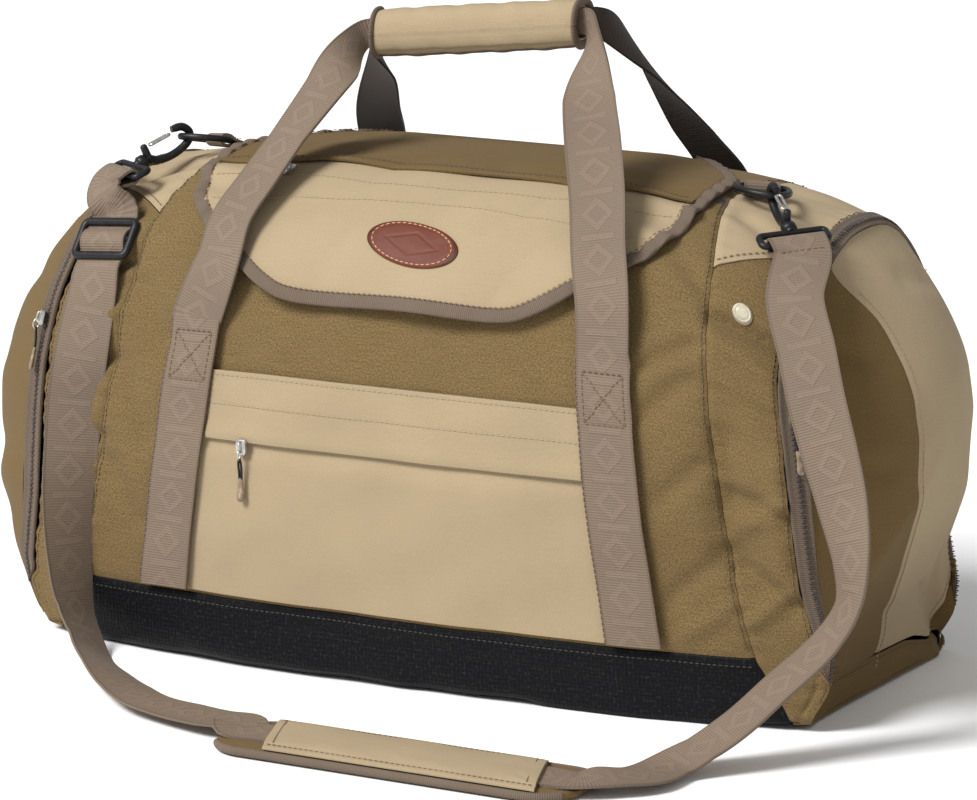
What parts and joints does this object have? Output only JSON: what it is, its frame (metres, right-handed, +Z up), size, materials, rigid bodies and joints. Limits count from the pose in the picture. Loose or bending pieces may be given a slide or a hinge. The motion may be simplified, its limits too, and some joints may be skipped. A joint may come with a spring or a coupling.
{
  "type": "travel duffel bag",
  "caption": "Canvas travel bag with domed zipped ends, a loose bound lid, a front pocket, webbing hand straps joined by a grip, and a padded shoulder strap on snap hooks.",
  "frame": {"origin": "middle of the flat base, on the floor under the middle of the bag", "axes": "+X along the bag, -Y towards the front pocket, +Z up"},
  "size_m": [0.7693, 0.5434, 0.4787],
  "materials": {
    "olive_canvas": "coarse speckled weave",
    "sand_canvas": "fine canvas weave",
    "tarpaulin": "coated grid cloth with a low sheen",
    "taupe_webbing": "ribbed webbing",
    "umber_webbing": "ribbed webbing",
    "zip_tape": "zip tape with moulded teeth",
    "moulded_nylon": "moulded satin black",
    "zip_metal": "worn nickel",
    "pull_cord": "cord with a moulded tab",
    "leather": "smooth tan leather",
    "stud_cream": "domed enamel cap"
  },
  "bodies": {
    "bag": {"back_panel": "olive_canvas", "base_panel": "tarpaulin", "d_ring_left": "moulded_nylon", "d_ring_right": "moulded_nylon", "end_back_left": "olive_canvas", "end_back_right": "olive_canvas", "end_band_left": "sand_canvas", "end_band_right": "sand_canvas", "end_bottom_left": "olive_canvas", "end_bottom_right": "olive_canvas", "end_front_left": "olive_canvas", "end_front_right": "olive_canvas", "end_zip_left": "zip_tape", "end_zip_right": "zip_tape", "front_panel": "olive_canvas", "front_pocket": "sand_canvas", "grip": "sand_canvas", "gusset_back_left": "olive_canvas", "gusset_back_right": "olive_canvas", "gusset_front_left": "olive_canvas", "gusset_front_right": "olive_canvas", "gusset_top_left": "sand_canvas", "gusset_top_right": "sand_canvas", "hand_strap_back_left": "umber_webbing", "hand_strap_back_right": "umber_webbing", "hand_strap_front_left": "taupe_webbing", "hand_strap_front_right": "taupe_webbing", "leather_patch": "leather", "lid_binding": "taupe_webbing", "lid_front": "sand_canvas", "lid_top": "olive_canvas", "main_zip": "zip_tape", "pad_base": "olive_canvas", "pad_sleeve": "sand_canvas", "pocket_placket": "sand_canvas", "pull_end_left": "pull_cord", "pull_end_right": "pull_cord", "pull_pocket": "pull_cord", "ring_tab_left": "taupe_webbing", "ring_tab_right": "taupe_webbing", "shoulder_strap_left": "taupe_webbing", "shoulder_strap_right": "taupe_webbing", "slider_end_left": "zip_metal", "slider_end_right": "zip_metal", "slider_main": "zip_metal", "slider_pocket": "zip_metal", "snap_hook_left": "moulded_nylon", "snap_hook_right": "moulded_nylon", "snap_stud": "stud_cream", "strap_adjuster": "moulded_nylon"},
    "gate_left": {"hook_gate_left": "zip_metal"},
    "gate_right": {"hook_gate_right": "zip_metal"}
  },
  "joints": [
    {"name": "gate_left_opens", "type": "hinge", "parent": "bag", "child": "gate_left", "pos_m": [-0.25173, -0.07057, 0.3588], "axis": [-0.8192, 0.5731, -0.023], "range_deg": [0, 20], "stiffness_Nm_per_rad": 0.04},
    {"name": "gate_right_opens", "type": "hinge", "parent": "bag", "child": "gate_right", "pos_m": [0.25827, -0.0657, 0.35276], "axis": [-0.7299, -0.6809, -0.061], "range_deg": [0, 20], "stiffness_Nm_per_rad": 0.04}
  ]
}
